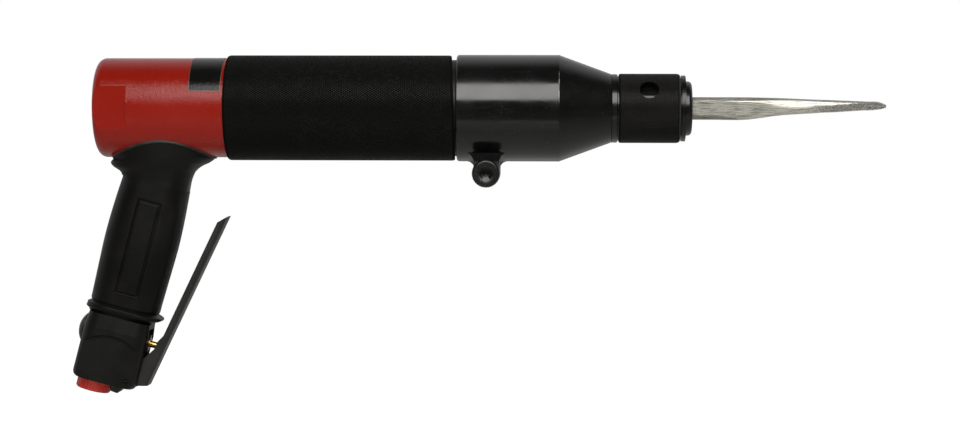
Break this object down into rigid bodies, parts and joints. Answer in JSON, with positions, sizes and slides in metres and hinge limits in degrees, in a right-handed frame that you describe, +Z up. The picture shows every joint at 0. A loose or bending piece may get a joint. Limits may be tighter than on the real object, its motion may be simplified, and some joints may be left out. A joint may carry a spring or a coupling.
{
  "type": "pneumatic chisel scaler",
  "caption": "Pistol-grip pneumatic chisel scaler: red rear casing on a raked rubber handle with throttle lever, rubber-sleeved barrel, clamped black nose and flat scaling chisel.",
  "frame": {"origin": "on the handle's axis at the middle of the grip, where the hand closes round it", "axes": "+X along the barrel towards the chisel's edge, +Y to the left of the user, +Z up"},
  "size_m": [0.4644, 0.061, 0.1958],
  "materials": {
    "red_paint": "glossy orange-peel paint",
    "moulded_collar": "satin moulded",
    "grip_rubber": "satin moulded",
    "black_paint": "satin",
    "lever_steel": "satin dark grey",
    "pin_brass": "plated",
    "stem_brass": "turned",
    "red_plastic": "moulded",
    "sleeve_rubber": "fine diamond pattern",
    "tube_steel": "turned",
    "black_steel": "black oxide, polished",
    "screw_steel": "black oxide",
    "knurled_steel": "black oxide, knurled",
    "ring_steel": "spring steel",
    "chisel_steel": "ground",
    "inner_steel": "ground",
    "seal_rubber": "smooth"
  },
  "bodies": {
    "root": {"barrel_sleeve": "sleeve_rubber", "barrel_tube": "tube_steel", "chisel_holder": "black_steel", "circlip": "ring_steel", "clamp_screw": "screw_steel", "front_buffer": "seal_rubber", "front_tube": "black_steel", "grip_sleeve": "grip_rubber", "handle_o_rings": "seal_rubber", "handle_stem": "tube_steel", "inlet_strainer": "stem_brass", "isolator_spring": "ring_steel", "lever_pin": "pin_brass", "locking_ball": "ring_steel", "rear_housing": "red_paint", "saddle_collar": "moulded_collar", "sleeve_o_ring": "seal_rubber", "stem_bush": "stem_brass", "stem_o_ring": "seal_rubber", "throttle_body": "black_paint", "valve_cap": "black_paint", "valve_spring": "ring_steel"},
    "lever": {"throttle_lever": "lever_steel"},
    "valve": {"valve_stem": "stem_brass", "valve_seal": "seal_rubber"},
    "cap": {"transit_cap": "red_plastic"},
    "sleeve": {"retaining_sleeve": "knurled_steel"},
    "chisel": {"chisel": "chisel_steel"},
    "cylinder": {"cylinder": "inner_steel", "valve_chest": "inner_steel", "front_bush": "inner_steel", "cylinder_seals": "seal_rubber"},
    "piston": {"piston": "inner_steel"},
    "anvil": {"anvil": "inner_steel"},
    "valve_disc": {"valve_disc": "inner_steel"}
  },
  "joints": [
    {"name": "lever_press", "type": "hinge", "parent": "root", "child": "lever", "pos_m": [-0.00662, 0, -0.07763], "axis": [0, -1, 0], "range_deg": [0, 6], "stiffness_Nm_per_rad": 6, "springref_deg": -6.88},
    {"name": "valve_push", "type": "slide", "parent": "root", "child": "valve", "axis": [-0.9679, 0, 0.2512], "range_m": [0, 0.0026], "deforming": ["valve_spring"]},
    {"name": "cap_pull", "type": "slide", "parent": "root", "child": "cap", "axis": [-0.2512, 0, -0.9679], "range_m": [0, 0.06]},
    {"name": "sleeve_turn", "type": "hinge", "parent": "root", "child": "sleeve", "pos_m": [0.2923, 0, 0.07937], "axis": [1, 0, 0], "continuous": true},
    {"name": "chisel_slide", "type": "slide", "parent": "root", "child": "chisel", "axis": [1, 0, 0], "range_m": [-0.008, 0]},
    {"name": "cylinder_float", "type": "slide", "parent": "root", "child": "cylinder", "axis": [1, 0, 0], "range_m": [-0.005, 0], "stiffness_N_per_m": 8000, "springref_m": 0.003, "deforming": ["isolator_spring"]},
    {"name": "piston_stroke", "type": "slide", "parent": "cylinder", "child": "piston", "axis": [1, 0, 0], "range_m": [-0.05, 0]},
    {"name": "anvil_slide", "type": "slide", "parent": "cylinder", "child": "anvil", "axis": [1, 0, 0], "range_m": [-0.008, 0]},
    {"name": "disc_flip", "type": "slide", "parent": "cylinder", "child": "valve_disc", "axis": [1, 0, 0], "range_m": [-0.0009, 0]}
  ],
  "couplings": [
    {"joint": "valve_push", "follows": "lever_press", "m_per_rad": 0.0243},
    {"joint": "anvil_slide", "follows": "chisel_slide", "ratio": 1}
  ]
}
